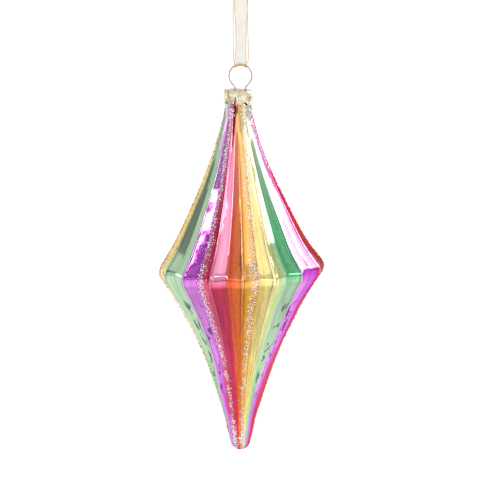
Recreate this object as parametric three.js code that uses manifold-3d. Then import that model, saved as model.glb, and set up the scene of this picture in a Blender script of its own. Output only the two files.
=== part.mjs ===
// Icicle hanging ornament: a blown glass drop with sixteen flutes, a pressed cap, a spring wire ring,
// a ribbon loop and eight lines of glitter glue. Millimetres, +Z up, the front faces -Y.
// Heights are measured up from the glass tip, and the whole group is then lowered so that the origin
// is the point where a branch or hook holds the loop.
import * as THREE from "three";
import { mergeVertices } from "three/addons/utils/BufferGeometryUtils.js";
import Module from "manifold-3d";

// Glass
const GLASS_WALL = 0.8;
const GLASS_SEGMENTS = 64;
const NECK_RADIUS = 5.3;
const RIM_HEIGHT = 160;
const GIRDLE_RADIUS = 36;
const GIRDLE_HEIGHT = 82.2;
const TIP_RADIUS = 4.4;
const FLUTES = 16;
const FLUTE_TURN = THREE.MathUtils.degToRad(1.2);
const FLUTE_DIP = 0.036;

// Cap
const CAP_TOP = 161.3;
const CAP_HEIGHT = 6;
const CAP_RADIUS = 6.1;
const CAP_WALL = 0.35;
const CAP_SCALLOPS = 9;
const CAP_SEGMENTS = 72;
const SCALLOP_DEPTH = 0.8;
const SLOT_SIZE = 1.2;

// Spring wire
const WIRE_RADIUS = 0.29;
const RING_RADIUS = 4.95;
const RING_HEIGHT = 167.3;
const LEG_SPREAD = 2.3;
const LEG_REACH = 3.8;
const LEG_BOTTOM = 141;

// Ribbon
const RIBBON_WIDTH = 6.4;
const RIBBON_THICKNESS = 0.3;
const BIGHT_WIDTH = 5;
const BIGHT_RADIUS = 0.75;
const LOOP_HEIGHT = 70;
const KNOT_SIZE = [3.4, 2.5, 2.7];
const TAIL_LENGTH = 12;

// Glitter lines
const GLITTER_LINES = 8;
const GLITTER_WIDTH = 1.7;
const GLITTER_RISE = 0.6;
const GLITTER_GAP = 0.3;
const GLITTER_TOP = 152;
const GLITTER_BOTTOM = 4;

const RING_TOP = RING_HEIGHT + RING_RADIUS;
// The ring swings about a line halfway down the arc that the ribbon covers, so it clears the bight.
const SWING_DROP = (RING_RADIUS - Math.sqrt(RING_RADIUS ** 2 - (BIGHT_WIDTH / 2) ** 2)) / 2;
const SWING_HEIGHT = RING_TOP - SWING_DROP;
const HANG_HEIGHT = RING_TOP + LOOP_HEIGHT;
const FLUTE_ANGLE = (2 * Math.PI) / FLUTES;

const { Manifold, Mesh: ManifoldMesh } = await setUpManifold();
const ornament = new THREE.Group();

async function setUpManifold() {
  const wasm = await Module();
  wasm.setup();
  return wasm;
}

function toManifold(geometry) {
  const bare = geometry.clone();
  bare.deleteAttribute("normal");
  bare.deleteAttribute("uv");
  const merged = mergeVertices(bare, 1e-4);
  return new Manifold(
    new ManifoldMesh({
      numProp: 3,
      vertProperties: new Float32Array(merged.attributes.position.array),
      triVerts: new Uint32Array(merged.index.array),
    }),
  );
}

function toGeometry(solid) {
  const mesh = solid.getMesh();
  const geometry = new THREE.BufferGeometry();
  geometry.setAttribute("position", new THREE.Float32BufferAttribute(mesh.vertProperties, 3));
  geometry.setIndex(Array.from(mesh.triVerts));
  geometry.computeVertexNormals();
  return geometry;
}

function addPart(name, geometry, color, roughness, metalness) {
  const material = new THREE.MeshStandardMaterial({ color, roughness, metalness });
  const mesh = new THREE.Mesh(geometry, material);
  mesh.name = name;
  mesh.position.z = -HANG_HEIGHT;
  ornament.add(mesh);
}

// Turns an outline of radius and height about the upright axis, starting at the front.
function turned(outline, segments) {
  const geometry = new THREE.LatheGeometry(outline, segments);
  geometry.rotateX(Math.PI / 2);
  return geometry;
}

// Moves every vertex by change(angle, radius, height), which gives the new radius and height.
// The angle is 0 at the front and grows toward +X.
function reshape(geometry, change) {
  const position = geometry.attributes.position;
  for (let i = 0; i < position.count; i++) {
    const angle = Math.atan2(position.getX(i), -position.getY(i));
    const radius = Math.hypot(position.getX(i), position.getY(i));
    const [newRadius, height] = change(angle, radius, position.getZ(i));
    position.setXYZ(i, newRadius * Math.sin(angle), -newRadius * Math.cos(angle), height);
  }
  geometry.computeVertexNormals();
  return geometry;
}

// The glass outline along its ridges, from the tip to the rim, as radius and height.
function glassOutline() {
  const lowerCone = new THREE.SplineCurve([
    new THREE.Vector2(TIP_RADIUS, TIP_RADIUS),
    new THREE.Vector2(5.6, 9),
    new THREE.Vector2(7.8, 18),
    new THREE.Vector2(15.5, 41),
    new THREE.Vector2(21.3, 54.5),
    new THREE.Vector2(28.3, 68),
    new THREE.Vector2(34.8, 78.5),
  ]);
  const upperCone = new THREE.SplineCurve([
    new THREE.Vector2(34.7, 86.2),
    new THREE.Vector2(28.9, 95),
    new THREE.Vector2(22.2, 108.3),
    new THREE.Vector2(16.1, 121.6),
    new THREE.Vector2(10.9, 134.8),
    new THREE.Vector2(6.8, 148),
    new THREE.Vector2(5.7, 155),
  ]);
  const girdle = new THREE.QuadraticBezierCurve(
    lowerCone.points.at(-1),
    new THREE.Vector2(2 * GIRDLE_RADIUS - 34.75, GIRDLE_HEIGHT),
    upperCone.points[0],
  );
  const neck = [new THREE.Vector2(NECK_RADIUS, 157), new THREE.Vector2(NECK_RADIUS, RIM_HEIGHT)];
  return [
    ...tipArc(),
    ...lowerCone.getPoints(9).slice(1),
    ...girdle.getPoints(3).slice(1),
    ...upperCone.getPoints(9).slice(1),
    ...neck,
  ];
}

function tipArc() {
  const steps = 4;
  return Array.from({ length: steps + 1 }, (_, i) => {
    const angle = (i / steps) * (Math.PI / 2);
    return new THREE.Vector2(TIP_RADIUS * Math.sin(angle), TIP_RADIUS * (1 - Math.cos(angle)));
  });
}

// The outline moved a distance outward, square to its own run.
function offsetOutline(outline, distance) {
  return outline.map((point, i) => {
    const before = outline[Math.max(i - 1, 0)];
    const after = outline[Math.min(i + 1, outline.length - 1)];
    const along = after.clone().sub(before).normalize();
    return new THREE.Vector2(point.x + along.y * distance, point.y - along.x * distance);
  });
}

// The inside of the shell, one wall in from the outline, from the rim back down to the tip.
function insideOutline(outline) {
  const inside = offsetOutline(outline, -GLASS_WALL);
  inside[0].set(0, GLASS_WALL);
  inside.at(-1).y = RIM_HEIGHT;
  return inside.reverse();
}

// How far a flute sinks below the ridges, as a share of the radius: two flat facets meet in its middle.
function fluteDip(angle, height) {
  const turns = (angle - FLUTE_TURN) / FLUTE_ANGLE;
  const across = turns - Math.floor(turns);
  const tipFade = THREE.MathUtils.smoothstep(height, 2, 20);
  const neckFade = 1 - THREE.MathUtils.smoothstep(height, 140, 155);
  return FLUTE_DIP * (1 - Math.abs(2 * across - 1)) * tipFade * neckFade;
}

function glassBody() {
  const outline = glassOutline();
  const shell = turned([...outline, ...insideOutline(outline)], GLASS_SEGMENTS);
  return reshape(shell.rotateZ(FLUTE_TURN), (angle, radius, height) => [
    radius * (1 - fluteDip(angle, height)),
    height,
  ]);
}

// Fills a ring of points with triangles that zigzag between its two ends.
function ladder(count) {
  const triangles = [];
  let low = 0;
  let high = count - 1;
  while (high - low > 1) {
    triangles.push([low, low + 1, high]);
    low++;
    if (high - low > 1) {
      triangles.push([low, high - 1, high]);
      high--;
    }
  }
  return triangles;
}

// Joins rings of points, each ring closed and in the same order, into one capped body.
function sweptBody(rings) {
  const perRing = rings[0].length;
  const index = [];
  for (let i = 0; i + 1 < rings.length; i++) {
    for (let j = 0; j < perRing; j++) {
      const a = i * perRing + j;
      const b = i * perRing + ((j + 1) % perRing);
      index.push(a, b + perRing, b, a, a + perRing, b + perRing);
    }
  }
  const last = (rings.length - 1) * perRing;
  for (const [a, b, c] of ladder(perRing)) {
    index.push(a, b, c, last + a, last + c, last + b);
  }
  const geometry = new THREE.BufferGeometry();
  geometry.setFromPoints(rings.flat());
  geometry.setIndex(index);
  geometry.computeVertexNormals();
  return geometry;
}

// One bead of glitter glue down the middle of a flute, standing just off the glass.
function glitterLine(angle) {
  const section = [
    [-0.5, 0],
    [0.5, 0],
    [0.3, 0.75],
    [0, 1],
    [-0.3, 0.75],
  ];
  const outline = glassOutline();
  const rows = section.map(([, rise]) => offsetOutline(outline, GLITTER_GAP + rise * GLITTER_RISE));
  const stations = outline.map((point, i) => {
    const keep = 1 - fluteDip(angle, point.y);
    const bulge = GLITTER_WIDTH ** 2 / (8 * Math.max(point.x, 1));
    return section.map(([side], k) => {
      const row = rows[k][i];
      const outward = row.x - point.x * (1 - keep) + bulge;
      const across = side * GLITTER_WIDTH;
      return new THREE.Vector3(
        outward * Math.sin(angle) + across * Math.cos(angle),
        -outward * Math.cos(angle) + across * Math.sin(angle),
        row.y,
      );
    });
  });
  return sweptBody(stations.filter((_, i) => outline[i].y > GLITTER_BOTTOM && outline[i].y < GLITTER_TOP));
}

function capOutline() {
  const bottom = CAP_TOP - CAP_HEIGHT;
  const inner = CAP_RADIUS - CAP_WALL;
  return [
    new THREE.Vector2(0, CAP_TOP - 0.25),
    new THREE.Vector2(4.4, CAP_TOP - 0.25),
    new THREE.Vector2(5.3, CAP_TOP),
    new THREE.Vector2(5.9, CAP_TOP - 0.2),
    new THREE.Vector2(CAP_RADIUS, CAP_TOP - 0.8),
    new THREE.Vector2(CAP_RADIUS, bottom + 2.6),
    new THREE.Vector2(CAP_RADIUS + 0.1, bottom + 1.2),
    new THREE.Vector2(CAP_RADIUS + 0.4, bottom),
    new THREE.Vector2(CAP_RADIUS + 0.4 - CAP_WALL, bottom),
    new THREE.Vector2(inner + 0.1, bottom + 1.3),
    new THREE.Vector2(inner, bottom + 2.6),
    new THREE.Vector2(inner, CAP_TOP - 0.9),
    new THREE.Vector2(4.4, CAP_TOP - 0.25 - CAP_WALL),
    new THREE.Vector2(0, CAP_TOP - 0.25 - CAP_WALL),
  ].reverse();
}

// The skirt's lower edge rises between its scallops, and its wall ripples with them.
function scalloped(angle, radius, height) {
  const bottom = CAP_TOP - CAP_HEIGHT;
  const skirt = 1 - THREE.MathUtils.smoothstep(height, bottom, bottom + 3.4);
  const wave = (1 + Math.cos(CAP_SCALLOPS * angle)) / 2;
  return [radius - 0.12 * wave * skirt, height + SCALLOP_DEPTH * wave * skirt];
}

function ornamentCap() {
  const shell = toManifold(reshape(turned(capOutline(), CAP_SEGMENTS), scalloped));
  const slot = new THREE.BoxGeometry(SLOT_SIZE, SLOT_SIZE, 3);
  const slots = [-1, 1].map((side) => {
    return toManifold(slot.clone().translate(side * LEG_SPREAD, 0, CAP_TOP - 0.4));
  });
  return toGeometry(slots.reduce((body, hole) => body.subtract(hole), shell));
}

// The wire's centre line: up one leg, round the ring and down the other leg.
function wireLine() {
  const leg = [
    [LEG_REACH - 0.5, LEG_BOTTOM],
    [LEG_REACH, LEG_BOTTOM + 2.5],
    [LEG_REACH - 0.25, LEG_BOTTOM + 9],
    [LEG_SPREAD + 0.25, CAP_TOP - 3.4],
    [LEG_SPREAD, CAP_TOP - 1.4],
    [LEG_SPREAD, CAP_TOP + 1],
  ].map(([x, z]) => new THREE.Vector3(-x, 0, z));
  const ringSteps = 14;
  const ringStart = THREE.MathUtils.degToRad(-42);
  const ring = Array.from({ length: ringSteps + 1 }, (_, i) => {
    const angle = Math.PI - ringStart - (i / ringSteps) * (Math.PI - 2 * ringStart);
    return new THREE.Vector3(RING_RADIUS * Math.cos(angle), 0, RING_HEIGHT + RING_RADIUS * Math.sin(angle));
  });
  const otherLeg = leg.map((point) => new THREE.Vector3(-point.x, 0, point.z)).reverse();
  return new THREE.CatmullRomCurve3([...leg, ...ring, ...otherLeg], false, "centripetal");
}

function wireHanger() {
  const section = new THREE.Shape().absarc(0, 0, WIRE_RADIUS, 0, 2 * Math.PI);
  return new THREE.ExtrudeGeometry(section, {
    curveSegments: 4,
    steps: 80,
    bevelEnabled: false,
    extrudePath: wireLine(),
  });
}

// The middle of the ribbon's thickness along the loop, as distance from the ring plane and height
// above the swing axis. The front strand first, round the bight, then the back one.
function ribbonLine() {
  const bight = BIGHT_RADIUS + RIBBON_THICKNESS / 2;
  const strand = [
    [3.2, LOOP_HEIGHT + 0.4],
    [4.1, LOOP_HEIGHT - 2.6],
    [4.3, LOOP_HEIGHT - 8],
    [3.9, LOOP_HEIGHT - 22],
    [3.1, LOOP_HEIGHT - 40],
    [2.2, 18],
    [1.3, 7],
    [bight, 2],
  ];
  const turn = Array.from({ length: 7 }, (_, i) => {
    const angle = (i / 6) * Math.PI;
    return [bight * Math.cos(angle), -bight * Math.sin(angle)];
  });
  const back = strand.map(([y, z]) => [-y, z]).reverse();
  const points = [...strand, ...turn, ...back].map(([y, z]) => new THREE.Vector3(0, -y, SWING_HEIGHT + z));
  return new THREE.CatmullRomCurve3(points, false, "centripetal");
}

// The ribbon gathers to the bight's width at the wire and cups over the ring's arc there. Its stations
// follow the line's points, so they lie close together round the bight.
function hangingRibbon() {
  const line = ribbonLine();
  const steps = 3 * (line.points.length - 1);
  const across = 4;
  const rings = Array.from({ length: steps + 1 }, (_, i) => {
    const centre = line.getPoint(i / steps);
    const along = line.getTangent(i / steps);
    const normal = new THREE.Vector3(0, -along.z, along.y);
    const gather = 1 - THREE.MathUtils.smoothstep(centre.z - SWING_HEIGHT, 0, 9);
    const width = THREE.MathUtils.lerp(RIBBON_WIDTH, BIGHT_WIDTH, gather);
    const side = (face, u) => {
      const x = (u - 0.5) * width;
      const drop = gather * (RING_RADIUS - Math.sqrt(RING_RADIUS * RING_RADIUS - x * x));
      const point = centre.clone().addScaledVector(normal, (face * RIBBON_THICKNESS) / 2);
      return new THREE.Vector3(x, point.y, point.z - drop);
    };
    const shares = Array.from({ length: across + 1 }, (_, k) => k / across);
    return [...shares.map((u) => side(-1, u)), ...shares.reverse().map((u) => side(1, u))];
  });
  return sweptBody(rings);
}

function ribbonKnot() {
  const knot = new THREE.SphereGeometry(1, 20, 12).scale(...KNOT_SIZE);
  const tails = [-1, 1].map((side) => {
    const tail = new THREE.BoxGeometry(RIBBON_WIDTH - 1.6, RIBBON_THICKNESS, TAIL_LENGTH);
    tail.translate(0, 0, TAIL_LENGTH / 2);
    return toManifold(tail.rotateX(side * 0.45).rotateZ(0.2));
  });
  const body = tails.reduce((whole, tail) => whole.add(tail), toManifold(knot));
  return toGeometry(body).translate(0, 0, HANG_HEIGHT + KNOT_SIZE[2] + 0.1);
}

addPart("glass_body", glassBody(), 0xb65aa8, 0.15, 0.7);
addPart("ornament_cap", ornamentCap(), 0xd9cfae, 0.3, 1);
addPart("wire_hanger", wireHanger(), 0x9a9186, 0.3, 1);
addPart("hanging_ribbon", hangingRibbon(), 0xd9c690, 0.7, 0);
addPart("ribbon_knot", ribbonKnot(), 0xd9c690, 0.7, 0);
for (let i = 0; i < GLITTER_LINES; i++) {
  const angle = FLUTE_TURN + FLUTE_ANGLE * (2 * i + 0.5);
  addPart(`glitter_line_${i + 1}`, glitterLine(angle), 0xe6dfe8, 0.5, 0.6);
}

export default ornament;
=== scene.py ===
"""Icicle hanging ornament: fluted lacquered glass, pressed cap, wire ring, glitter lines and ribbon loop.

Lengths are millimetres and heights are measured up from the glass tip, as in the part's source, until
at() turns them into the frame's metres. Angles are 0 at the front and grow towards +X.
"""
import math
import random

import bmesh
import bpy
from mathutils import Matrix, Quaternion, Vector, noise


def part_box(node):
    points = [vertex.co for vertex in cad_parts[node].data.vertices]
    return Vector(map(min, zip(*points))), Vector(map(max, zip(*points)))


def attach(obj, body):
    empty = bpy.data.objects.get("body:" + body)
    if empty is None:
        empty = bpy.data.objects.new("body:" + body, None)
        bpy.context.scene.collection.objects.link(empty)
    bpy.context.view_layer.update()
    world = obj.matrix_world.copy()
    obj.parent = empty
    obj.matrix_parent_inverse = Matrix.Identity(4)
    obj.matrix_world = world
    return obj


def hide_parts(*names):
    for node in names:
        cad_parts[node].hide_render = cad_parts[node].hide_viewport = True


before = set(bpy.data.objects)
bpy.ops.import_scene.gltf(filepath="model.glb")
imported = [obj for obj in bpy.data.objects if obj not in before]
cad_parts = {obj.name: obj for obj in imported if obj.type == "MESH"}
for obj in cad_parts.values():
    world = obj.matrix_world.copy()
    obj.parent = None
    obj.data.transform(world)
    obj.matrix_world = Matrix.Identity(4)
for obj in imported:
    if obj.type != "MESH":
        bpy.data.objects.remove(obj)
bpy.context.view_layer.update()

MM = 0.001
TIP_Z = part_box("glass_body")[0].z
HANG_HEIGHT = -TIP_Z / MM
RIM_HEIGHT = HANG_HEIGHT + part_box("glass_body")[1].z / MM
CAP_TOP = HANG_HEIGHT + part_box("ornament_cap")[1].z / MM

# The wire's radius in CAD and as it looks here, its ring, and its spring legs inside the neck.
WIRE_RADIUS = 0.29
WIRE_LOOK = 0.35
WIRE_SIDES = 14
WIRE_STEPS = 420
RING_RADIUS = 4.95
RING_TOP = HANG_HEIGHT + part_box("wire_hanger")[1].z / MM - WIRE_RADIUS
RING_HEIGHT = RING_TOP - RING_RADIUS
RING_GAP = math.radians(42)
LEG_SPREAD = 2.3
LEG_REACH = 3.8
LEG_BOTTOM = 141

# The cap, its open notch, and the slots for the wire: across, front to back and deep.
CAP_WALL = 0.22
CAP_DISH = 0.44
CAP_PETALS = 9
CAP_SEGMENTS = 216
CAP_SIDE_LEAN = math.radians(-2.2)
CAP_BACK_LEAN = math.radians(0.8)
NOTCH_ANGLE = -0.21
NOTCH_WIDTH = 0.055
NOTCH_HEIGHT = 2.6
SLOT_SIZE = (1.3, 1.0, 3)

# The glass. Flute depths and the girdle's lean are shares of its radius, and the width of the bead on
# each ridge is a share of a flute.
GLASS_WALL = 0.8
GIRDLE_HEIGHT = 82.2
TIP_RADIUS = 4.4
NECK_RADIUS = 5.3
FLUTES = 16
FLUTE_ANGLE = 2 * math.pi / FLUTES
FLUTE_TURN = math.radians(1.2)
LOWER_FLUTE_DEPTH = 0.03
UPPER_FLUTE_DEPTH = 0.04
RIDGE_BEAD = 0.14
RIDGE_BEAD_WIDTH = 0.042
SLOW_WANDER = 0.16
FINE_WANDER = 0.015
GIRDLE_STRAY = 0.5
NECK_STRAY = 0.95
GIRDLE_LEAN = 0.035
VALLEY_RISE = 0.8

# The glitter lines, one on every second flute. Each one's shift from the middle of its flute and its lean
# at the neck are in flutes.
GLITTER_LINES = 8
GLITTER_SHIFTS = (-0.14, 1.6, 0.35, -0.16, 0.12, -0.05, -0.42, 0.16)
GLITTER_LEANS = (0.7, -1.55, 0, 0, 0, 0, 0, 0)
GLITTER_BOTTOM = 1.2
GLITTER_TOP = 153.5
GLITTER_SEED = 50
FLAKES_A_LINE = 1600
FLAKE_RADII = (0.12, 0.28)
FLAKE_TINTS = (
    (0.98, 0.97, 0.98),
    (0.96, 0.94, 0.92),
    (0.98, 0.90, 0.94),
    (0.96, 0.76, 0.84),
    (0.84, 0.66, 0.92),
    (0.96, 0.86, 0.62),
    (0.50, 0.44, 0.42),
)

# The ribbon, its bight round the wire, its loop over the ring's top, and its knot and cut tails.
RIBBON_WIDTH = 6.4
WEAVE_HALF_THICK = 0.05
EDGE_HALF_THICK = 0.11
RIBBON_STEPS = 330
RIBBON_ACROSS = 28
BIGHT_WIDTH = 5.2
BIGHT_OUT = 0.9
BIGHT_DROP = 0.8
LOOP_HEIGHT = 70
KNOT_HEIGHT = HANG_HEIGHT + 2.9
KNOT_WIDTH = 2.5
KNOT_HALF_THICK = 0.12
KNOT_STEPS = 120
KNOT_ACROSS = 14
TAIL_WIDTH = 5.4
TAIL_HALF_THICK = 0.06
TAIL_STEPS = 40

# The lacquer's stripes repeat every four flutes: where each colour is in that run, the colour, and the
# tint that it pales to.
STRIPE_RUN = 4.0
STRIPES = (
    (0.000, (0.82, 0.26, 0.02), (0.86, 0.46, 0.22)),
    (0.030, (0.86, 0.38, 0.015), (0.88, 0.60, 0.30)),
    (0.110, (0.88, 0.47, 0.03), (0.90, 0.72, 0.40)),
    (0.135, (0.90, 0.68, 0.20), (0.86, 0.80, 0.55)),
    (0.235, (0.90, 0.78, 0.30), (0.88, 0.84, 0.58)),
    (0.254, (0.50, 0.62, 0.22), (0.46, 0.60, 0.14)),
    (0.284, (0.64, 0.74, 0.46), (0.52, 0.64, 0.30)),
    (0.312, (0.14, 0.54, 0.24), (0.54, 0.61, 0.48)),
    (0.490, (0.17, 0.56, 0.28), (0.54, 0.61, 0.48)),
    (0.506, (0.64, 0.12, 0.70), (0.92, 0.62, 0.92)),
    (0.640, (0.54, 0.06, 0.60), (0.90, 0.55, 0.90)),
    (0.662, (0.60, 0.03, 0.13), (0.88, 0.40, 0.58)),
    (0.860, (0.62, 0.03, 0.08), (0.92, 0.42, 0.62)),
    (0.885, (0.80, 0.08, 0.03), (0.88, 0.45, 0.40)),
    (1.000, (0.82, 0.20, 0.02), (0.86, 0.46, 0.22)),
)

# Levels given at a few angles, in degrees round from the front. The drifts are how many flutes the
# stripes stray by, and the pales are how far they pale to their tints.
STRIPE_DRIFT = (
    (-180, 0), (-130, 0.15), (-92, 0.3), (-66, 0.2), (-44, 0), (0, 0), (20, -0.1), (35, -0.2),
    (44, -0.02), (50, 0), (57, -0.1), (64, -0.2), (80, -0.5), (105, -0.5), (125, -0.4), (150, 0), (180, 0),
)
NECK_DRIFT = (
    (-180, 0), (-100, 0.3), (-75, 0.6), (-44, 0.6), (-30, 0.2), (-21.3, 0.1), (-20, 0.6), (-10, 0.65),
    (0, 0.35), (12, 0.05), (40, -0.1), (60, 0), (180, 0),
)
TIP_DRIFT = (
    (-180, 0.5), (-120, 0.8), (-60, 0.8), (-40, 0.45), (-20, 0), (0, 0), (27, 0), (33, 0.6), (60, 0.6),
    (110, 0.5), (180, 0.5),
)
# The pales are partly the lacquer's own paler patches and partly painted reflection brightness at these
# angles.
PALE_BELOW = (
    (-180, 0.3), (-66, 0.75), (-46, 0.75), (-43, 0.35), (-24, 0.2), (-18, 0.05), (22, 0.1), (26, 0.7),
    (45, 0.75), (48, 0.45), (60, 0.35), (67, 0.05), (110, 0.1), (180, 0.3),
)
PALE_ABOVE = (
    (-180, 0.4), (-80, 0.4), (-66, 0.75), (-46, 0.7), (-43, 0.05), (-22, 0), (-20, 0.7), (-11, 0.7),
    (-9, 0), (2, 0.3), (13, 0.35), (16, 0.1), (24, 0.3), (29, 0.3), (31, 0), (70, 0), (125, 0), (180, 0.4),
)
PALE_NECK = (
    (-180, 0.5), (-66, 0.6), (-46, 0.6), (-30, 0.6), (-21, 0.4), (-18, 0.5), (4, 0.65), (16, 0.7),
    (28, 0.8), (46, 1.0), (58, 0.6), (80, 0.4), (180, 0.5),
)

CAMERA_DISTANCE = 862
CAMERA_ELEVATION = math.radians(9.5)
CAMERA_ASIDE = -0.2
FRAME_WIDTH = 211.2
AIM_HEIGHT = 95

# The stage, in metres, and its light.
FLOOR_Z = TIP_Z - 0.28
FLOOR_SIZE = 30
CARD_DISTANCE = 1.3
KEY_DISTANCE = 1.6
ROOM_LIGHT = 0.85
REAR_LIGHT = 1.1

# Dark things in the room: degrees round from the front, degrees up from level, and depth.
DARK_THINGS = (
    ((-112, -90), (18.3, 27), 0.62),
    ((-26, -3), (3, 10), 0.5),
    ((-70, -50.5), (18, 60), 0.4),
    ((-98, -76), (18, 60), 0.1),
)

# Bright cards that the glass and the cap reflect: name, degrees round and up, radiance and roll.
CARDS = (
    ("front_box", (-16, 20), (14, 76), 0.4, 0),
    ("front_strip", (-27, -20), (27, 49), 5, 0),
    ("gold_card", (38, 50), (22, 54), 0.45, 0),
    ("cap_card", (-8, 18), (-2, 9), 1.2, 0),
    ("left_card", (-121, -111), (3, 14), 1.0, 0),
    ("ridge_strip", (-50, -47), (27, 35), 3, 0),
    ("right_strip", (82, 90.5), (20.5, 31.5), 2.5, -15),
    ("right_box", (105, 125), (17, 37), 12, 0),
    ("right_low_box", (126, 141), (8, 26), 11, 0),
    ("right_top_box", (54, 66), (13, 25), 2, 0),
    ("white_card", (-5, 1.5), (24, 40), 3, 0),
    ("neck_card", (-42, -17), (10, 26), 0.5, 0),
    ("left_strip", (-61.6, -59), (34, 46), 9, 37),
    ("left_lamp", (-64, -49), (32.2, 33.8), 9, 0),
)


# ---------------------------------------------------------------- helpers


def at(x, y, height):
    """A point in the frame's metres."""
    return Vector((x * MM, y * MM, TIP_Z + height * MM))


def mix(a, b, share):
    return a + (b - a) * share


def smoothstep(low, high, value):
    share = min(max((value - low) / (high - low), 0), 1)
    return share * share * (3 - 2 * share)


def bell(distance, width):
    """1 at no distance, fading to almost nothing by twice the width."""
    return math.exp(-((distance / width) ** 2))


def spline(points, steps):
    """Points evenly spread along a Catmull-Rom curve through the given ones."""
    points = [Vector(p) for p in points]
    made = []
    for i in range(steps + 1):
        position = i / steps * (len(points) - 1)
        k = min(int(position), len(points) - 2)
        t = position - k
        before = points[max(k - 1, 0)]
        after = points[min(k + 2, len(points) - 1)]
        a, b = points[k], points[k + 1]
        out, into = (b - before) / 2, (after - a) / 2
        cubic = (2 * a - 2 * b + out + into) * t**3
        square = (3 * b - 3 * a - 2 * out - into) * t**2
        made.append(cubic + square + out * t + a)
    return made


def heading(line, i):
    """A line's direction at its point i."""
    return (line[min(i + 1, len(line) - 1)] - line[max(i - 1, 0)]).normalized()


def middle_of(ring):
    return sum(ring, Vector()) / len(ring)


def loft(name, rings, start, end):
    """A closed mesh over rings of points, drawn to a point at each end."""
    count = len(rings[0])
    points = [start] + [p for ring in rings for p in ring] + [end]
    last = len(points) - 1
    faces = []
    for j in range(count):
        k = (j + 1) % count
        faces.append((0, 1 + k, 1 + j))
        faces.append((last, last - count + j, last - count + k))
        for i in range(len(rings) - 1):
            a = 1 + i * count
            faces.append((a + j, a + k, a + count + k, a + count + j))
    mesh = bpy.data.meshes.new(name)
    mesh.from_pydata(points, [], faces)
    shape = bmesh.new()
    shape.from_mesh(mesh)
    bmesh.ops.recalc_face_normals(shape, faces=shape.faces)
    shape.to_mesh(mesh)
    shape.free()
    return mesh


def add_to_scene(name, data):
    thing = bpy.data.objects.new(name, data)
    bpy.context.scene.collection.objects.link(thing)
    return thing


def place(name, mesh, body, materials, nodes=()):
    """Puts a mesh in the scene as a smooth piece that rides on a body and stands for CAD nodes."""
    piece = add_to_scene(name, mesh)
    for material in materials:
        mesh.materials.append(material)
    mesh.shade_smooth()
    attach(piece, body)
    if nodes:
        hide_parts(*nodes)
    return piece


def point_values(mesh, name, values):
    """Gives each of a mesh's points a number that its material reads."""
    mesh.attributes.new(name, "FLOAT", "POINT").data.foreach_set("value", values)


# ---------------------------------------------------------------- camera


def make_camera():
    camera = add_to_scene("camera", bpy.data.cameras.new("camera"))
    back = Vector((0, -math.cos(CAMERA_ELEVATION), math.sin(CAMERA_ELEVATION)))
    camera.location = at(CAMERA_ASIDE, 0, AIM_HEIGHT) + back * CAMERA_DISTANCE * MM
    camera.rotation_mode = "QUATERNION"
    camera.rotation_quaternion = (-back).to_track_quat("-Z", "Y")
    camera.data.lens = camera.data.sensor_width * CAMERA_DISTANCE / FRAME_WIDTH
    bpy.context.scene.camera = camera


# ---------------------------------------------------------------- ribbon


def ribbon_route():
    """The loop's line from the knot down the front strand, round the wire and up the back strand. The
    points are distance towards the front and height over the ring's top."""
    strand = [
        (3.2, LOOP_HEIGHT + 0.4),
        (4.1, LOOP_HEIGHT - 2.6),
        (4.3, LOOP_HEIGHT - 8),
        (3.9, LOOP_HEIGHT - 22),
        (3.1, LOOP_HEIGHT - 40),
        (2.2, 18),
        (1.3, 7),
        (BIGHT_OUT + 0.05, 2),
    ]
    turn = []
    for i in range(7):
        angle = i / 6 * math.pi
        turn.append((BIGHT_OUT * math.cos(angle), -BIGHT_DROP * math.sin(angle)))
    back = [(-out, up) for out, up in reversed(strand)]
    return [(0, -out, RING_TOP + up) for out, up in strand + turn + back]


def round_band(across):
    """Goes round a flat band: its under face (-1) from side -1 to 1, then its upper face (1) back."""
    under = [(-1, 2 * k / across - 1) for k in range(across + 1)]
    upper = [(1, side) for _, side in reversed(under)]
    return under + upper


def band_mesh(name, line, rings, around):
    """Closes a band swept along a line, and gives each point its side and its distance along."""
    mesh = loft(name, rings, middle_of(rings[0]), middle_of(rings[-1]))
    sides, lengths = [], []
    length = 0
    for i, centre in enumerate(line):
        length += (centre - line[max(i - 1, 0)]).length
        sides += [side for _, side in around]
        lengths += [length] * len(around)
    point_values(mesh, "side", [0, *sides, 0])
    point_values(mesh, "along", [0, *lengths, length])
    return mesh


def ribbon_ring(line, i, around):
    """The ribbon round point i of its line: gathered at the wire, wider and flatter above it, with a
    thick woven edge. It follows the ring's arc where it is gathered, and flares just above it."""
    centre = line[i]
    along = heading(line, i)
    outward = Vector((0, -along.z, along.y))
    up = centre.z - RING_TOP
    front = i < len(line) / 2
    gather = 1 - smoothstep(0, 7 if front else 2, up)
    pinch = (1 - smoothstep(8, 34, up)) * (1.9 if front else -0.55)
    width = mix(RIBBON_WIDTH, BIGHT_WIDTH, gather) - pinch * (1 - gather)
    shift = 0.25 * math.sin(up / 13 + (0 if front else 2))
    cup = 0.35 * (RIBBON_WIDTH - width)
    ring = []
    for face, side in around:
        x = side * width / 2 + shift * (1 - gather)
        drop = gather * (RING_RADIUS - math.sqrt(RING_RADIUS**2 - (side * width / 2) ** 2))
        drop += 0.13 * gather * side * side
        thick = mix(WEAVE_HALF_THICK, EDGE_HALF_THICK, smoothstep(0.8, 0.95, abs(side)))
        ripple = 0.07 * math.sin(side * 9 + up * 0.35) + 0.05 * noise.noise((side * 4, up / 6, 0))
        lift = cup * side * side * (1 - gather) + ripple * (1 - 0.6 * gather) + face * thick
        flare = 0.6 * side * side * (1 - smoothstep(1, 6, up))
        point = centre + outward * lift
        point.y += flare * max(-1, min(1, centre.y / BIGHT_OUT))
        ring.append(at(x, point.y, point.z - drop))
    return ring


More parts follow.
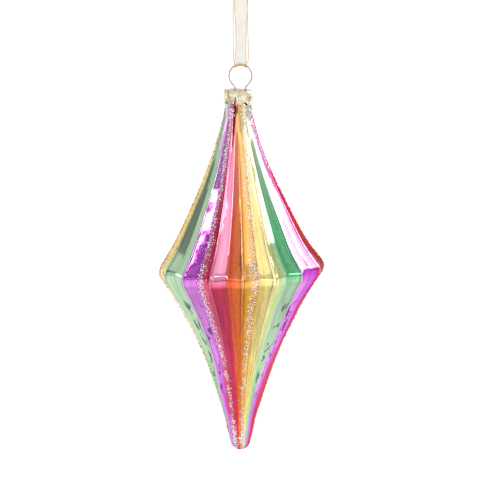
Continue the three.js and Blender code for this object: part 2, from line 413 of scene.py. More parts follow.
def ribbon_mesh():
    """The fine organza loop, and its line in the frame's metres."""
    line = spline(ribbon_route(), RIBBON_STEPS)
    around = round_band(RIBBON_ACROSS)
    rings = [ribbon_ring(line, i, around) for i in range(len(line))]
    mesh = band_mesh("ribbon_loop", line, rings, around)
    bunches = [0]
    for centre in line:
        bunches += [1 - smoothstep(-0.1, 0.6, centre.z - RING_TOP)] * len(around)
    point_values(mesh, "bunched", [*bunches, 0])
    return mesh, [at(p.x, p.y, p.z) for p in line]


def knot_band(name, line, width, half_thick, twist, seed=0.0):
    """A soft band swept along a line, with lengthways pleats. Its width and its twist depend on the share
    of the line behind it."""
    around = round_band(KNOT_ACROSS)
    rings = []
    length = 0
    for i, centre in enumerate(line):
        along = heading(line, i)
        length += (centre - line[max(i - 1, 0)]).length
        share = i / (len(line) - 1)
        flat = along.cross(Vector((0.31, 0.17, 0.93))).normalized()
        wide = Matrix.Rotation(twist(share), 3, along) @ flat
        thin = along.cross(wide)
        ring = []
        for face, side in around:
            pleat = 0.16 * math.cos(side * 8 + seed) + 0.1 * noise.noise((side * 3, length, seed))
            offset = wide * side * width(share) / 2 + thin * (pleat + face * half_thick)
            ring.append(at(*(centre + offset)))
        rings.append(ring)
    return band_mesh(name, line, rings, around)


def knot_turns():
    """The overhand knot in the doubled ribbon: a trefoil, flattened and not quite closed."""
    line = []
    for i in range(KNOT_STEPS + 1):
        t = 2 * math.pi * i / KNOT_STEPS * 0.985
        x = math.sin(t) + 2 * math.sin(2 * t)
        y = math.cos(t) - 2 * math.cos(2 * t)
        line.append(Vector((0, 0, KNOT_HEIGHT)) + Vector((x * 0.72, y * 0.5, -math.sin(3 * t) * 1.25)))
    return knot_band(
        "knot_turns",
        line,
        lambda share: KNOT_WIDTH,
        KNOT_HALF_THICK,
        lambda share: 6.2 * share,
    )


def knot_tail(name, side):
    """One of the loop's two cut ends, which spreads to nearly its full width as it leaves the knot."""
    low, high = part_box("ribbon_knot")
    centre = Vector((0, 0, KNOT_HEIGHT))
    route = [
        centre + Vector((0.4 * side, -0.5 * side, 0.6)),
        centre + Vector((0.9 * side, -1.6 * side, 3.2)),
        centre + Vector((0.9 * side, -3.2 * side, 6.5)),
        centre + Vector((0.3 * side, -4.6 * side, (high.z - low.z) / MM - 3.6)),
    ]
    return knot_band(
        name,
        spline(route, TAIL_STEPS),
        lambda share: mix(2.2, TAIL_WIDTH, smoothstep(0, 0.5, share)),
        TAIL_HALF_THICK,
        lambda share: 0.5 * share,
        seed=side,
    )


def knot_meshes():
    return [knot_turns(), knot_tail("knot_tail_back", -1), knot_tail("knot_tail_front", 1)]


# ---------------------------------------------------------------- glass


def glass_outline():
    """Radius and height along a ridge, from the tip up to the rim."""
    tip = []
    for i in range(1, 11):
        angle = i / 10 * math.pi / 2
        tip.append(Vector((TIP_RADIUS * math.sin(angle), TIP_RADIUS * (1 - math.cos(angle)))))
    lower = [(TIP_RADIUS, TIP_RADIUS), (5.6, 9), (7.8, 18), (15.5, 41)]
    lower += [(21.3, 54.5), (28.3, 68), (34.8, 78.5)]
    upper = [(34.7, 86.2), (28.9, 95), (22.2, 108.3), (16.1, 121.6), (10.9, 134.8), (6.8, 148), (5.7, 155)]
    corner = (Vector(lower[-1]), Vector((37.9, GIRDLE_HEIGHT)), Vector(upper[0]))
    girdle = []
    for i in range(1, 14):
        t = i / 14
        girdle.append(corner[0] * (1 - t) ** 2 + corner[1] * 2 * t * (1 - t) + corner[2] * t * t)
    neck = spline([(5.7, 155), (NECK_RADIUS, 157), (NECK_RADIUS, RIM_HEIGHT)], 8)
    return tip + spline(lower, 84)[1:] + girdle + spline(upper, 84) + neck[1:]


OUTLINE = glass_outline()


def outline_at(row):
    """Radius, height and outward direction at a row of the outline, which may be a fraction."""
    k = min(max(int(row), 0), len(OUTLINE) - 2)
    point = OUTLINE[k].lerp(OUTLINE[k + 1], row - k)
    along = (OUTLINE[min(k + 2, len(OUTLINE) - 1)] - OUTLINE[max(k - 1, 0)]).normalized()
    return point.x, point.y, along.y, -along.x


def row_at(height):
    return next(i for i, point in enumerate(OUTLINE) if point.y >= height)


def across_flute(angle):
    """Place across a flute, from 0 at one ridge to 1 at the next."""
    turns = (angle - FLUTE_TURN) / FLUTE_ANGLE
    return turns - math.floor(turns)


def facet_depth(across):
    """0 on a ridge, 1 in the valley where a flute's two facets meet, rounded at both, and hollow."""
    from_valley = abs(2 * across - 1)
    valley, ridge = 0.05, 0.06
    depth = 1 - (math.hypot(from_valley, valley) - valley) / (math.hypot(1, valley) - valley)
    depth = (math.hypot(depth, ridge) - ridge) / (math.hypot(1, ridge) - ridge)
    return depth + 0.5 * depth * (1 - depth)


def stray(height):
    """How far the blown glass strays sideways from its axis: its neck one way, its girdle the other."""
    return GIRDLE_STRAY * bell(height - GIRDLE_HEIGHT, 8) - NECK_STRAY * smoothstep(98, 146, height)


def glass_point(angle, row, offset=0.0):
    """A point on the glass, or off it by an offset. The blown glass is a little uneven: its girdle
    leans, rises in the valleys, and its walls wander."""
    radius, height, out, up = outline_at(row)
    across = across_flute(angle)
    depth = facet_depth(across)
    bead = RIDGE_BEAD * bell(min(across, 1 - across), RIDGE_BEAD_WIDTH) * (radius / 36) ** 0.7
    flute = mix(LOWER_FLUTE_DEPTH, UPPER_FLUTE_DEPTH, smoothstep(76, 88, height))
    flute *= smoothstep(2, 22, height) * (1 - 0.75 * smoothstep(140, 156, height))
    rise = VALLEY_RISE * bell(height - GIRDLE_HEIGHT, 5) * depth
    lean = GIRDLE_LEAN * bell(height - GIRDLE_HEIGHT, 20)
    spot = Vector((math.sin(angle) * radius, math.cos(angle) * radius, height))
    wander = SLOW_WANDER * noise.noise(spot / 15) + FINE_WANDER * noise.noise(spot / 4)
    wander *= smoothstep(0, 8, radius) * (1 - smoothstep(148, 156, height))
    radius = radius * (1 - flute * depth) + bead + wander + offset * out
    aside = stray(height)
    height += offset * up + rise + lean * radius * math.sin(angle)
    return at(radius * math.sin(angle) + aside, -radius * math.cos(angle), height)


def glass_mesh():
    """The hollow shell: close rows outside, few inside, and more points near each ridge and valley."""
    half = [0, 0.02, 0.04, 0.06, 0.08, 0.105, 0.135, 0.18, 0.25, 0.34, 0.42, 0.47]
    shares = half + [0.5] + [1 - share for share in half[:0:-1]]
    angles = [FLUTE_TURN + FLUTE_ANGLE * (flute + share) for flute in range(FLUTES) for share in shares]
    rings = [[glass_point(a, row) for a in angles] for row in range(len(OUTLINE))]
    inside_rows = [*range(len(OUTLINE) - 1, 20, -8), 12, 6]
    rings += [[glass_point(a, row, -GLASS_WALL) for a in angles] for row in inside_rows]
    return loft("blown_glass", rings, at(0, 0, 0), at(0, 0, GLASS_WALL))


# ---------------------------------------------------------------- glitter lines


class GlitterLine:
    """A hand-drawn line of glitter glue that wanders about the middle of a flute."""

    def __init__(self, index):
        self.chance = random.Random(GLITTER_SEED + index)
        self.angle = FLUTE_TURN + FLUTE_ANGLE * (2 * index + 0.5 + GLITTER_SHIFTS[index])
        self.lean = FLUTE_ANGLE * GLITTER_LEANS[index]
        self.first = row_at(GLITTER_BOTTOM)
        self.last = row_at(GLITTER_TOP)
        self.phases = [self.chance.uniform(0, 2 * math.pi) for _ in range(3)]

    def wander(self, row):
        """Sideways distance from the line's middle."""
        height = outline_at(row)[1]
        a, b, c = self.phases
        slow = 0.5 * math.sin(height / 23 + a) + 0.3 * math.sin(height / 9 + b)
        quick = 0.15 * math.sin(height / 3.7 + c)
        return (slow + quick) * smoothstep(0, 40, height) * (1 - smoothstep(125, 150, height))

    def point(self, row, side, offset):
        """A point a distance to the side of the line's middle, and off the glass by an offset."""
        radius, height = outline_at(row)[:2]
        middle = self.angle + self.lean * smoothstep(116, 150, height)
        return glass_point(middle + (self.wander(row) + side) / max(radius, 1.5), row, offset)

    def half_width(self, row):
        height = outline_at(row)[1]
        swell = noise.noise((self.angle * 9, height / 5, 1))
        return 1.05 + 0.35 * swell + 0.75 * bell(height - GIRDLE_HEIGHT, 24)

    def bead(self):
        """The low, lumpy bead of clear glue."""
        sides = 8
        rings = []
        for row in range(self.first, self.last):
            half = self.half_width(row)
            over, under = [], []
            for k in range(sides + 1):
                side = 2 * k / sides - 1
                lump = 1 + 0.6 * noise.noise((row / 3, side * 2, self.angle))
                rise = 0.2 * math.sqrt(max(1 - side * side, 0)) * lump
                over.append(self.point(row, side * half, 0.02 + rise))
                under.append(self.point(row, side * half, -0.08))
            rings.append(over + under[::-1])
        return loft("glue", rings, self.point(self.first, 0, 0), self.point(self.last, 0, 0))

    def flake(self, row, side, off):
        """The corners of a six-sided flake at a chance angle."""
        middle = self.point(row, side, off)
        up = self.point(row + 1, side, off) - middle
        sideways = self.point(row, side + 0.3, off) - middle
        lean = Vector([self.chance.gauss(0, 0.4) for _ in range(3)])
        normal = (sideways.cross(up).normalized() + lean).normalized()
        first = normal.orthogonal().normalized()
        second = normal.cross(first)
        size = self.chance.uniform(*FLAKE_RADII) * MM
        turn = self.chance.uniform(0, math.pi)
        corners = [turn + k * math.pi / 3 for k in range(6)]
        return [middle + (first * math.cos(a) + second * math.sin(a)) * size for a in corners]

    def flakes(self, count):
        """The corners and the colours of loose flakes, which crowd in places along the line."""
        flakes, tints = [], []
        while len(flakes) < count:
            row = self.chance.uniform(self.first, self.last - 1)
            crowd = noise.noise((row / 4, self.angle * 7, 3))
            if self.chance.random() > 0.8 + 0.3 * crowd:
                continue
            side = max(-2.2, min(2.2, self.chance.gauss(0, 0.62)))
            off = 0.03 + self.chance.uniform(0, 0.24) * math.exp(-side * side)
            flakes.append(self.flake(row, side * self.half_width(row), off))
            tints.append(self.chance.choice(FLAKE_TINTS))
        return flakes, tints


def glitter_mesh(index):
    """The clear glue and its flakes in one mesh: material 0 is glue and 1 is flake."""
    line = GlitterLine(index)
    glue = line.bead()
    points = [v.co.copy() for v in glue.vertices]
    faces = [tuple(p.vertices) for p in glue.polygons]
    colours = [(1, 1, 1, 1)] * len(points)
    glue_faces = len(faces)
    for corners, tint in zip(*line.flakes(FLAKES_A_LINE)):
        faces.append(tuple(range(len(points), len(points) + 6)))
        points += corners
        colours += [(*tint, 1)] * 6
    mesh = bpy.data.meshes.new(f"glitter_{index + 1}")
    mesh.from_pydata(points, [], faces)
    layer = mesh.color_attributes.new("tint", "FLOAT_COLOR", "POINT")
    layer.data.foreach_set("color", [c for colour in colours for c in colour])
    for polygon in mesh.polygons[glue_faces:]:
        polygon.material_index = 1
    return mesh


# ---------------------------------------------------------------- cap


def cap_profile():
    """Radius and drop below the cap's top: from its dished middle out over the rim and down the wall."""
    return spline(
        [
            (0.5, 0.42), (3.2, 0.42), (4.3, 0.38), (4.7, 0.15), (5.2, 0), (5.8, 0.12), (6.15, 0.5),
            (6.28, 1.1), (6.25, 2.2), (6.3, 3.4), (6.38, 4.6), (6.5, 5.6), (6.6, 6.1),
        ],
        54,
    )


def cap_point(angle, radius, drop):
    """Presses the plain turned cap into shape: petals at its lower edge, an open notch, pinches and
    dents in its thin wall, and a slight lean."""
    low = smoothstep(1.4, 6.0, drop)
    petals = abs(math.sin(CAP_PETALS / 2 * (angle - NOTCH_ANGLE)))
    uneven = 0.5 + 0.5 * noise.noise((math.sin(angle) * 1.3, math.cos(angle) * 1.3, 4))
    notch = bell(angle - NOTCH_ANGLE, NOTCH_WIDTH)
    rise = low * ((1 - petals) * (0.6 + 1.1 * uneven) + NOTCH_HEIGHT * notch)
    spot = Vector((math.sin(angle) * radius, math.cos(angle) * radius, drop * 0.7))
    wall = smoothstep(4.5, 6.0, radius)
    dents = 0.13 * noise.noise(spot / 1.7) + 0.1 * noise.noise(spot / 0.7)
    pinch = -0.25 * low * (1 - petals) ** 2 - 0.35 * notch * smoothstep(0.5, 3, drop)
    radius += wall * (dents + pinch)
    top = 0.05 * noise.noise(spot / 0.9) * smoothstep(1, 4, radius)
    height = CAP_TOP - 0.02 - drop + rise + top
    x, y = radius * math.sin(angle), -radius * math.cos(angle)
    return at(x + stray(height), y, height + x * math.sin(CAP_SIDE_LEAN) + y * math.sin(CAP_BACK_LEAN))


def cap_mesh():
    """The thin cap: its outer face down the profile, then its inner face back up."""
    profile = cap_profile()
    angles = [2 * math.pi * j / CAP_SEGMENTS - math.pi for j in range(CAP_SEGMENTS)]
    outside = [[cap_point(a, p.x, p.y) for a in angles] for p in profile]
    inside = []
    for i in range(len(profile) - 1, -1, -2):
        along = heading(profile, i)
        radius, drop = profile[i].x - along.y * CAP_WALL, profile[i].y + along.x * CAP_WALL
        inside.append([cap_point(a, max(radius, 0.3), drop) for a in angles])
    top = at(0, 0, CAP_TOP - CAP_DISH)
    under = at(0, 0, CAP_TOP - CAP_DISH - CAP_WALL)
    return loft("pressed_cap", outside + inside, top, under)


def cut_slots(piece):
    """The two slots in the cap's top that the wire comes up through."""
    cutter_mesh = bpy.data.meshes.new("slots")
    shape = bmesh.new()
    for side in (-1, 1):
        size = Matrix.Diagonal((*(length * MM for length in SLOT_SIZE), 1))
        where = Matrix.Translation(at(side * LEG_SPREAD, 0, CAP_TOP - 0.5))
        bmesh.ops.create_cube(shape, size=1, matrix=where @ size)
    shape.to_mesh(cutter_mesh)
    shape.free()
    cutter = add_to_scene("slots", cutter_mesh)
    cut = piece.modifiers.new("slots", "BOOLEAN")
    cut.object = cutter
    cut.solver = "EXACT"
    apply_modifiers(piece)
    bpy.data.objects.remove(cutter)
    piece.data.shade_smooth()
    piece.data.set_sharp_from_angle(angle=math.radians(40))


def apply_modifiers(piece):
    graph = bpy.context.evaluated_depsgraph_get()
    done = bpy.data.meshes.new_from_object(piece.evaluated_get(graph))
    piece.modifiers.clear()
    piece.data = done


# ---------------------------------------------------------------- wire


def wire_line():
    """One leg up through its slot, round the ring, and down the other leg. The legs follow the neck."""
    leg = [
        (-LEG_REACH + 0.5, LEG_BOTTOM + 0.2),
        (-LEG_REACH, LEG_BOTTOM + 2.5),
        (-LEG_REACH + 0.25, LEG_BOTTOM + 9),
        (-LEG_SPREAD - 0.25, CAP_TOP - 3.4),
        (-LEG_SPREAD, CAP_TOP - 1.4),
        (-LEG_SPREAD, CAP_TOP + 1),
    ]
    ring = []
    for i in range(15):
        angle = math.pi + RING_GAP - i / 14 * (math.pi + 2 * RING_GAP)
        ring.append((RING_RADIUS * math.cos(angle), RING_HEIGHT + RING_RADIUS * math.sin(angle)))
    other = [(-x, height) for x, height in reversed(leg)]
    line = spline([(x, 0, height) for x, height in leg + ring + other], WIRE_STEPS)
    for centre in line:
        centre.x += 0.8 * stray(centre.z) * (1 - smoothstep(LEG_BOTTOM + 12, CAP_TOP + 1, centre.z))
    return line


def wire_mesh():
    """A round tube along the wire's line, with its two cut ends eased."""
    line = wire_line()
    across = Vector((0, 1, 0))
    rings = []
    for i, centre in enumerate(line):
        up = heading(line, i).cross(across)
        radius = WIRE_LOOK * (1 if 0 < i < len(line) - 1 else 0.75)
        ring = []
        for j in range(WIRE_SIDES):
            turn = 2 * math.pi * j / WIRE_SIDES
            ring.append(at(*(centre + (across * math.cos(turn) + up * math.sin(turn)) * radius)))
        rings.append(ring)
    return loft("spring_wire", rings, at(*line[0]), at(*line[-1]))


# ---------------------------------------------------------------- material helpers


def new_material(name):
    material = bpy.data.materials.new(name)
    material.use_nodes = True
    tree = material.node_tree
    return material, tree, tree.nodes["Principled BSDF"]


def fill(tree, socket, value):
    """Sets a socket to a value, or links another node's output to it."""
    if isinstance(value, bpy.types.NodeSocket):
        tree.links.new(value, socket)
    elif value is not None:
        socket.default_value = value


def set_inputs(tree, shader, **values):
    for key, value in values.items():
        fill(tree, shader.inputs[key.replace("_", " ")], value)


def node(tree, kind, *inputs, **settings):
    """Adds a node and fills its sockets in order."""
    made = tree.nodes.new("ShaderNode" + kind)
    for key, value in settings.items():
        setattr(made, key, value)
    for socket, value in zip(made.inputs, inputs):
        fill(tree, socket, value)
    return made.outputs[0]


def maths(tree, operation, *inputs):
    return node(tree, "Math", *inputs, operation=operation)


def times(tree, first, *others):
    """The product of two or more values."""
    product = first
    for value in others:
        product = maths(tree, "MULTIPLY", product, value)
    return product


def coordinates(tree, kind="Object"):
    return tree.nodes.new("ShaderNodeTexCoord").outputs[kind]


def parts_of(tree, vector):
    """A vector's x, y and z."""
    split = tree.nodes.new("ShaderNodeSeparateXYZ")
    tree.links.new(vector, split.inputs[0])
    return split.outputs


def angle_round(tree, x, y):
    """The angle round from the front, in radians."""
    return maths(tree, "ARCTAN2", x, times(tree, y, -1.0))


def attribute(tree, name, output="Fac"):
    made = tree.nodes.new("ShaderNodeAttribute")
    made.attribute_name = name
    return made.outputs[output]


def ramp(tree, share, stops):
    """A colour ramp with (place, colour) stops."""
    made = tree.nodes.new("ShaderNodeValToRGB")
    elements = made.color_ramp.elements
    while len(elements) < len(stops):
        elements.new(1)
    for element, (stop, colour) in zip(elements, stops):
        element.position = stop
        element.color = (*colour, 1)
    tree.links.new(share, made.inputs[0])
    return made.outputs[0]


def mapped(tree, value, low, high, to_low=0.0, to_high=1.0, clamp=True):
    made = tree.nodes.new("ShaderNodeMapRange")
    made.clamp = clamp
    for socket, item in zip(made.inputs, (value, low, high, to_low, to_high)):
        fill(tree, socket, item)
    return made.outputs[0]


def spread(tree, noise_level, low, high):
    """Spreads a noise, which keeps mostly within 0.3 to 0.7, from low to high."""
    return mapped(tree, noise_level, 0.3, 0.7, low, high)


def soft_range(tree, value, low, high, edge):
    """1 between low and high, falling to 0 over a soft edge."""
    up = mapped(tree, value, low - edge, low + edge)
    down = mapped(tree, value, high - edge, high + edge, 1.0, 0.0)
    return times(tree, up, down)


def noise_value(tree, vector, scale, detail=3.0, roughness=0.55):
    made = tree.nodes.new("ShaderNodeTexNoise")
    for key, item in (("Vector", vector), ("Scale", scale), ("Detail", detail), ("Roughness", roughness)):
        fill(tree, made.inputs[key], item)
    return made.outputs["Fac"]


def flat_noise(tree, x, y, x_scale, y_scale, detail, roughness=0.55):
    """Noise over two values, drawn out along the one with the smaller scale."""
    where = node(tree, "CombineXYZ", times(tree, x, x_scale), times(tree, y, y_scale))
    return noise_value(tree, where, 1.0, detail, roughness)


def blend_colour(tree, share, a, b, how="MIX"):
    made = tree.nodes.new("ShaderNodeMix")
    made.data_type = "RGBA"
    made.blend_type = how
    fill(tree, made.inputs[0], share)
    fill(tree, made.inputs[6], (*a, 1) if isinstance(a, tuple) else a)
    fill(tree, made.inputs[7], (*b, 1) if isinstance(b, tuple) else b)
    return made.outputs[2]


def tinted(tree, colour, tint):
    """A colour multiplied by another, or by a level."""
    return blend_colour(tree, 1.0, colour, tint, "MULTIPLY")


def bump(tree, height, strength, distance):
    made = tree.nodes.new("ShaderNodeBump")
    made.inputs["Strength"].default_value = strength
    made.inputs["Distance"].default_value = distance
    tree.links.new(height, made.inputs["Height"])
    return made.outputs[0]


def round_ramp(tree, angle, stops):
    """A level given at a few angles, in degrees, round the ornament. The ramp holds half the level
    over a half, because a ramp's colours can't be negative."""
    share = mapped(tree, angle, -math.pi, math.pi)
    level = ramp(tree, share, [(0.5 + degrees / 360, (0.5 + value / 2,) * 3) for degrees, value in stops])
    return mapped(tree, level, 0.5, 1.0, 0.0, 1.0, clamp=False)


# ---------------------------------------------------------------- materials


def stripe_place(tree, coords, angle, height, turned):
    """Place along the run of stripes, in flutes. The stripes stray from the flutes, most of all at the
    neck and the tip."""
    drift = mapped(tree, noise_value(tree, coords, 90.0, 2.0), 0.0, 1.0, -0.06, 0.06)
    for from_height, to_height, stops in (
        (15.0, 65.0, STRIPE_DRIFT),
        (126.0, 146.0, NECK_DRIFT),
        (50.0, 24.0, TIP_DRIFT),
    ):
        share = mapped(tree, height, from_height, to_height)
        drift = maths(tree, "MULTIPLY_ADD", share, round_ramp(tree, angle, stops), drift)
    return maths(tree, "FLOORED_MODULO", maths(tree, "ADD", turned, drift), STRIPE_RUN)


def paleness(tree, angle, height, streaks):
    """How far the lacquer pales, partly its own paler lacquer and partly painted reflection brightness, from
    one level below the girdle, one above it and one at the neck.
    """
    below = round_ramp(tree, angle, PALE_BELOW)
    above = round_ramp(tree, angle, PALE_ABOVE)
    neck = round_ramp(tree, angle, PALE_NECK)
    pale = blend_colour(tree, mapped(tree, height, 79.0, 84.0), below, above)
    pale = blend_colour(tree, mapped(tree, height, 105.0, 142.0), pale, neck)
    return times(tree, pale, spread(tree, streaks, 0.6, 1.2), mapped(tree, height, 20.0, 50.0, 0.3, 1.0))


def brushed_stripes(tree, coords, angle, height, turned, flutes):
    """The stripes' colours with brush streaks, fine lines and mottle, paled to their tints."""
    along = maths(tree, "DIVIDE", flutes, STRIPE_RUN)
    colour = ramp(tree, along, [(start, colour) for start, colour, _ in STRIPES])
    tints = ramp(tree, along, [(start, tint) for start, _, tint in STRIPES])
    streaks = flat_noise(tree, turned, height, 6.0, 0.035, 5.0, 0.6)
    fine = flat_noise(tree, turned, height, 22.0, 0.1, 3.0)
    mottle = noise_value(tree, coords, 550.0, 4.0)
    colour = tinted(tree, colour, spread(tree, streaks, 0.66, 1.14))
    colour = tinted(tree, colour, spread(tree, fine, 0.76, 1.14))
    colour = tinted(tree, colour, spread(tree, mottle, 0.88, 1.08))
    return blend_colour(tree, paleness(tree, angle, height, streaks), colour, tints)


def painted_ridge_lines(tree, coords, height, turned, colour):
    """Paints a highlight on the ridges by showing silver, where the lacquer is thin, and paints shade where
    it gathers, beside the ridges and in the valleys."""
    from_ridge = maths(tree, "PINGPONG", maths(tree, "FRACT", turned), 0.5)
    ragged = spread(tree, noise_value(tree, coords, 500.0, 3.0), 0.35, 1.0)
    thin = mapped(tree, height, 80.0, 86.0, 0.08, 0.3)
    # Painted highlight: the ridges mix towards near-white silver.
    painted_crest_highlight = times(tree, mapped(tree, from_ridge, 0.01, 0.03, thin, 0.0), ragged)
    colour = blend_colour(tree, painted_crest_highlight, colour, (0.9, 0.88, 0.86))
    # Painted shade beside the ridges and in the valleys.
    beside = soft_range(tree, from_ridge, 0.05, 0.075, 0.012)
    valley = mapped(tree, from_ridge, 0.484, 0.494, 0.0, 0.8)
    painted_shade = times(tree, maths(tree, "MAXIMUM", beside, valley), ragged)
    return blend_colour(tree, painted_shade, colour, tinted(tree, colour, (0.22, 0.15, 0.18)))


def neck_run(tree, height, turned, colour):
    """A dark run of crimson down from the cap, narrowing as it goes."""
    width = mapped(tree, height, 136.0, 156.0, 0.12, 0.5)
    start = mapped(tree, height, 136.0, 156.0, -1.0, -1.4)
    place_across = maths(tree, "DIVIDE", maths(tree, "SUBTRACT", turned, start), width)
    across = soft_range(tree, place_across, 0.0, 1.0, 0.12)
    run = times(tree, across, soft_range(tree, height, 136.5, 155.5, 1.5))
    return blend_colour(tree, run, colour, (0.07, 0.005, 0.015))


def painted_reflection_spots(tree, height, turned, flutes, colour):
    """Painted dark reflection spots in the green and the violet below the girdle."""
    spots = mapped(tree, flat_noise(tree, turned, height, 2.6, 0.21, 4.0, 0.6), 0.53, 0.55)
    violet = soft_range(tree, flutes, 2.08, 2.45, 0.03)
    green = soft_range(tree, flutes, 1.5, 1.9, 0.03)
    below = soft_range(tree, height, 27.0, 71.0, 3.0)
    spots = times(tree, spots, maths(tree, "MAXIMUM", violet, green), below, 0.9)
    return blend_colour(tree, spots, colour, tinted(tree, colour, (0.24, 0.26, 0.34)))


def lacquer():
    """Silvered glass under translucent lacquer stripes."""
    material, tree, shader = new_material("lacquered_glass")
    coords = coordinates(tree)
    x, y, z = parts_of(tree, coords)
    angle = angle_round(tree, x, y)
    turned = maths(tree, "DIVIDE", maths(tree, "SUBTRACT", angle, FLUTE_TURN), FLUTE_ANGLE)
    height = maths(tree, "DIVIDE", maths(tree, "SUBTRACT", z, TIP_Z), MM)
    flutes = stripe_place(tree, coords, angle, height, turned)
    colour = brushed_stripes(tree, coords, angle, height, turned, flutes)
    colour = painted_ridge_lines(tree, coords, height, turned, colour)
    colour = neck_run(tree, height, turned, colour)
    colour = painted_reflection_spots(tree, height, turned, flutes, colour)
    sheen = blend_colour(tree, 0.2, colour, (1.0, 1.0, 1.0))
    mist = spread(tree, noise_value(tree, coords, 700.0, 3.0), 0.03, 0.08)
    tall = node(tree, "VectorMath", coords, (1.0, 1.0, 0.35), operation="MULTIPLY")
    waves = noise_value(tree, tall, 330.0, 2.0)
    set_inputs(tree, shader, Base_Color=colour, Metallic=1.0, Specular_Tint=sheen, Roughness=mist)
    set_inputs(tree, shader, Coat_Weight=0.2, Coat_Roughness=0.03, Coat_IOR=1.5)
    set_inputs(tree, shader, Normal=bump(tree, waves, 0.06, 0.0004))
    return material


def glitter_glue():
    """Nearly clear glue, a little milky in specks."""
    material, tree, shader = new_material("glitter_glue")
    speck = noise_value(tree, coordinates(tree), 2600.0, 2.0)
    colour = ramp(tree, speck, [(0.35, (0.88, 0.84, 0.82)), (0.6, (0.97, 0.95, 0.94))])
    alpha = mapped(tree, speck, 0.45, 0.75, 0.0, 0.16)
    set_inputs(tree, shader, Base_Color=colour, Roughness=0.15, Alpha=alpha)
    set_inputs(tree, shader, Normal=bump(tree, speck, 0.6, 0.0002))
    return material


def glitter_flake():
    """Flakes of every tint, some brighter than others."""
    material, tree, shader = new_material("glitter_flake")
    tint = attribute(tree, "tint", "Color")
    dull = spread(tree, noise_value(tree, coordinates(tree), 3000.0, 1.0), 0.12, 0.4)
    set_inputs(tree, shader, Base_Color=tint, Metallic=0.25, Roughness=dull)
    return material


def cap_metal():
    """Thin pale gold plate, tarnished in patches and finely creased."""
    material, tree, shader = new_material("pressed_cap_metal")
    coords = coordinates(tree)
    patches = noise_value(tree, coords, 600.0, 4.0)
    tarnish, middling, bright = (0.26, 0.20, 0.12), (0.52, 0.44, 0.30), (0.76, 0.70, 0.56)
    colour = ramp(tree, patches, [(0.32, tarnish), (0.46, middling), (0.66, bright)])
    creases = noise_value(tree, coords, 1500.0, 3.0)
    set_inputs(tree, shader, Base_Color=colour, Metallic=1.0, Roughness=spread(tree, creases, 0.14, 0.3))
    set_inputs(tree, shader, Normal=bump(tree, creases, 0.5, 0.0003))
    return material


def wire_metal():
    """Dull brown spring wire, smoother where it is brighter."""
    material, tree, shader = new_material("spring_wire")
    tarnish = noise_value(tree, coordinates(tree), 900.0, 3.0)
    colour = ramp(tree, tarnish, [(0.35, (0.24, 0.19, 0.15)), (0.65, (0.48, 0.41, 0.34))])
    set_inputs(tree, shader, Base_Color=colour, Metallic=1.0, Roughness=spread(tree, tarnish, 0.5, 0.36))
    return material


def threads(tree, value, rate):
    """0 between the threads that cross a value, and 1 on them."""
    return maths(tree, "ABSOLUTE", maths(tree, "SINE", times(tree, value, rate)))


def organza():
    """Sheer weave: threads both ways over a clear ground, closing to solid gold at the woven edges and
    where it is bunched round the wire."""
    material, tree, shader = new_material("organza")
    side, along = attribute(tree, "side"), attribute(tree, "along")
    bunched = attribute(tree, "bunched")
    weave = maths(tree, "MAXIMUM", threads(tree, side, 48.0), threads(tree, along, 15.0))
    edge = mapped(tree, maths(tree, "ABSOLUTE", side), 0.89, 0.93)
    cover = mapped(tree, maths(tree, "POWER", weave, 2.0), 0.0, 1.0, 0.1, 0.38)
    moire = spread(tree, flat_noise(tree, side, along, 3.0, 0.25, 3.0), 0.8, 1.2)
    alpha = maths(tree, "MAXIMUM", times(tree, cover, moire), times(tree, edge, 0.8))
    alpha = maths(tree, "MAXIMUM", alpha, times(tree, bunched, 0.85))
    golden = maths(tree, "MAXIMUM", edge, bunched)
    colour = blend_colour(tree, golden, (0.70, 0.66, 0.56), (0.56, 0.36, 0.16))
    colour = tinted(tree, colour, mapped(tree, weave, 0.0, 1.0, 0.8, 1.05))
    set_inputs(tree, shader, Base_Color=colour, Roughness=0.55, Alpha=alpha, Sheen_Weight=0.3)
    set_inputs(tree, shader, Normal=bump(tree, weave, 0.4, 0.00005))
    return material


# ---------------------------------------------------------------- stage


def panel(name, sides, heights, radiance, roll=0, distance=CARD_DISTANCE):
    """A bright card that fills a range of directions, in degrees round from the front and up from
    level. It shows in reflections and adds no light of its own."""
    turn = math.radians(sum(sides) / 2)
    lift = math.radians(sum(heights) / 2)
    towards = Vector((math.sin(turn) * math.cos(lift), -math.cos(turn) * math.cos(lift), math.sin(lift)))
    lamp = bpy.data.lights.new(name, "AREA")
    lamp.shape = "RECTANGLE"
    lamp.size = 2 * distance * math.tan(math.radians(sides[1] - sides[0]) / 2) * math.cos(lift)
    lamp.size_y = 2 * distance * math.tan(math.radians(heights[1] - heights[0]) / 2)
    lamp.energy = 4 * lamp.size * lamp.size_y * radiance
    light = add_to_scene(name, lamp)
    light.visible_diffuse = False
    light.location = at(0, 0, GIRDLE_HEIGHT) + towards * distance
    light.rotation_mode = "QUATERNION"
    light.rotation_quaternion = Quaternion(towards, math.radians(roll)) @ (-towards).to_track_quat("-Z", "Y")
    return light


def dark_thing(tree, turn, lift, sides, heights, depth):
    """How dark the room is where a dark thing stands."""
    low, high = (math.radians(a) for a in sides)
    bottom, top = (math.radians(a) for a in heights)
    inside = times(tree, soft_range(tree, turn, low, high, 0.01), soft_range(tree, lift, bottom, top, 0.01))
    return times(tree, inside, depth)


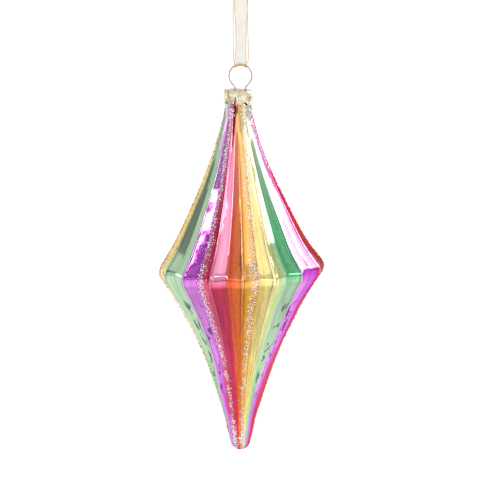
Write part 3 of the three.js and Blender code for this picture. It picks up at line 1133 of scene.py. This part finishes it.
def make_room():
    """An even white studio, brighter behind, with a few ragged dark things standing in it."""
    world = bpy.data.worlds.new("studio")
    bpy.context.scene.world = world
    world.use_nodes = True
    tree = world.node_tree
    direction = coordinates(tree, "Generated")
    x, y, z = parts_of(tree, direction)
    ragged = mapped(tree, noise_value(tree, direction, 16.0, 8.0, 0.68), 0.0, 1.0, -0.14, 0.14)
    turn = maths(tree, "ADD", angle_round(tree, x, y), ragged)
    lift = maths(tree, "ADD", maths(tree, "ARCSINE", z), times(tree, ragged, 0.6))
    shade = 0.0
    for sides, heights, depth in DARK_THINGS:
        shade = maths(tree, "MAXIMUM", shade, dark_thing(tree, turn, lift, sides, heights, depth))
    light = mapped(tree, y, -0.1, 0.7, ROOM_LIGHT, REAR_LIGHT)
    level = times(tree, light, maths(tree, "SUBTRACT", 1.0, shade))
    background = tree.nodes["Background"]
    set_inputs(tree, background, Color=(1, 1, 1, 1), Strength=level)


def make_floor():
    """A pale floor with a painted glow that makes it white away from the ornament, and a painted shadow
    under the ornament, where it doesn't glow.
    """
    mesh = bpy.data.meshes.new("floor")
    corners = [(x * FLOOR_SIZE, y * FLOOR_SIZE, FLOOR_Z) for x, y in ((-1, -1), (1, -1), (1, 1), (-1, 1))]
    mesh.from_pydata(corners, [], [(0, 1, 2, 3)])
    floor = add_to_scene("floor", mesh)
    material, tree, shader = new_material("pale_floor")
    x, y, _ = parts_of(tree, coordinates(tree))
    away = tree.nodes.new("ShaderNodeVectorMath")
    away.operation = "LENGTH"
    tree.links.new(node(tree, "CombineXYZ", x, y), away.inputs[0])
    # Painted glow from 0.18 m out, which leaves a painted shadow under the ornament.
    glow = mapped(tree, away.outputs["Value"], 0.18, 0.4, 0.0, 0.55)
    set_inputs(tree, shader, Base_Color=(0.88, 0.88, 0.88, 1), Roughness=0.9)
    set_inputs(tree, shader, Emission_Color=(1, 1, 1, 1), Emission_Strength=glow)
    mesh.materials.append(material)


def make_stage():
    """The room, the floor, one soft key card that lights the ornament, and the cards that it reflects."""
    make_room()
    make_floor()
    key = panel("key", (-16, 20), (27, 76), 1.0, distance=KEY_DISTANCE)
    key.visible_glossy = False
    key.visible_diffuse = True
    for name, sides, heights, radiance, roll in CARDS:
        panel(name, sides, heights, radiance, roll)
    bpy.context.scene.view_settings.view_transform = "Standard"


# ---------------------------------------------------------------- the ornament


make_camera()

cloth = organza()
loop_mesh, loop_line = ribbon_mesh()
loop = place("ribbon_loop", loop_mesh, "ribbon", [cloth], ["hanging_ribbon"])
for mesh in knot_meshes():
    nodes = ["ribbon_knot"] if mesh.name == "knot_turns" else []
    place(mesh.name, mesh, "ribbon", [cloth], nodes)

place("blown_glass", glass_mesh(), "glass", [lacquer()], ["glass_body"])
glue, flake = glitter_glue(), glitter_flake()
for index in range(GLITTER_LINES):
    place(f"glitter_{index + 1}", glitter_mesh(index), "glass", [glue, flake],
          [f"glitter_line_{index + 1}"])
cut_slots(place("pressed_cap", cap_mesh(), "cap", [cap_metal()], ["ornament_cap"]))
place("spring_wire", wire_mesh(), "hanger", [wire_metal()], ["wire_hanger"])

make_stage()
